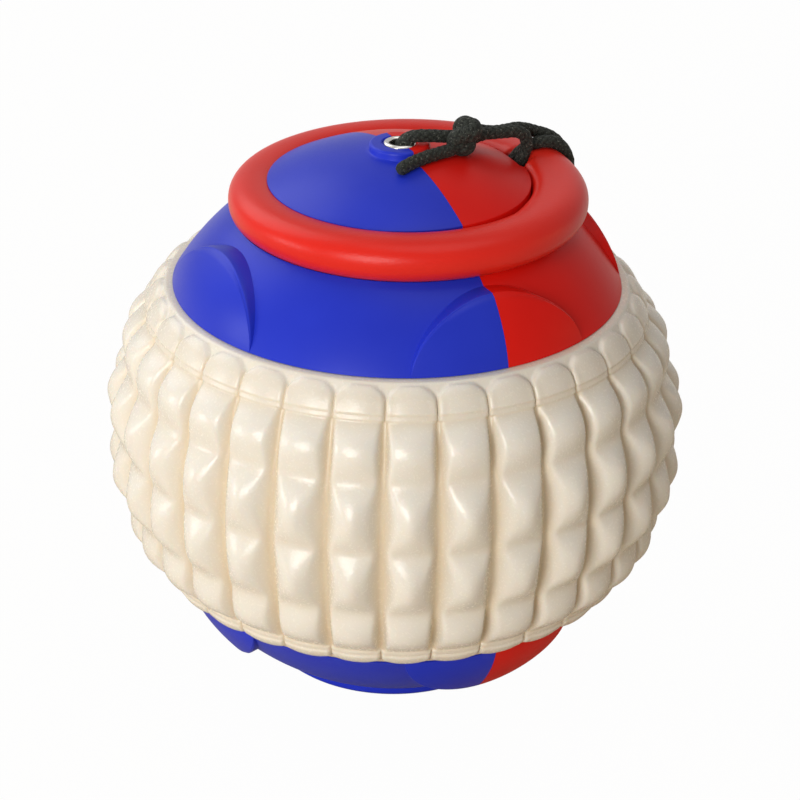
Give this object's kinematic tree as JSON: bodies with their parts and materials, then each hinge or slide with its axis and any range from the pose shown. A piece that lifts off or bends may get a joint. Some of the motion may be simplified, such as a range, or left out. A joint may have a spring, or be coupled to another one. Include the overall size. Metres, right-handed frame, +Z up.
{
  "type": "rope throwing ball",
  "caption": "Two-tone throwing ball for dogs with a ribbed chew sleeve and a pull ring tied to a cord that a sprung reel inside draws back in.",
  "frame": {"origin": "centre of the flat foot under the ball", "axes": "+Z up along the ball's axis to the eyelet, the seam between the shells is the plane x = 0, the red shell and the cord's loop are at +X"},
  "size_m": [0.099, 0.099, 0.1009],
  "materials": {
    "blue_plastic": "satin, fine grain",
    "red_plastic": "satin, fine grain",
    "red_rubber": "satin, fine speckle",
    "cream_rubber": "soft satin",
    "nickel": "bright nickel",
    "steel": "plain steel",
    "inner_plastic": "natural moulded plastic",
    "black_cord": "braided cord"
  },
  "bodies": {
    "ball": {"shell_blue": "blue_plastic", "shell_red": "red_plastic", "chew_sleeve": "cream_rubber", "eyelet": "nickel", "eyelet_washer": "steel", "axle": "steel", "spring_arbor": "steel", "thrust_washer_red": "steel", "thrust_washer_blue": "steel", "shell_screw_1": "steel", "shell_screw_2": "steel", "shell_screw_3": "steel", "shell_screw_4": "steel", "cord_run": "black_cord"},
    "reel": {"spool": "inner_plastic", "spring_cover": "inner_plastic", "cover_screw_1": "steel", "cover_screw_2": "steel", "cover_screw_3": "steel", "return_spring": "steel", "cord_winding": "black_cord"},
    "pull_cord": {"cord_lead": "black_cord", "cord_knot": "black_cord", "cord_loop": "black_cord", "cord_tail": "black_cord"},
    "ring": {"pull_ring": "red_rubber"}
  },
  "joints": [
    {"name": "pull", "type": "slide", "parent": "ball", "child": "pull_cord", "axis": [0, 0, 1], "range_m": [0, 0.45]},
    {"name": "ring_tilt", "type": "hinge", "parent": "pull_cord", "child": "ring", "pos_m": [0.02725, 0, 0.0888], "axis": [0, 1, 0], "range_deg": [0, 110]},
    {"name": "reel_spin", "type": "hinge", "parent": "ball", "child": "reel", "pos_m": [0, 0, 0.0476], "axis": [1, 0, 0], "range_deg": [0, 1500], "stiffness_Nm_per_rad": 0.0025, "springref_deg": -229.18}
  ],
  "couplings": [
    {"joint": "reel_spin", "follows": "pull", "rad_per_m": 57.64}
  ]
}
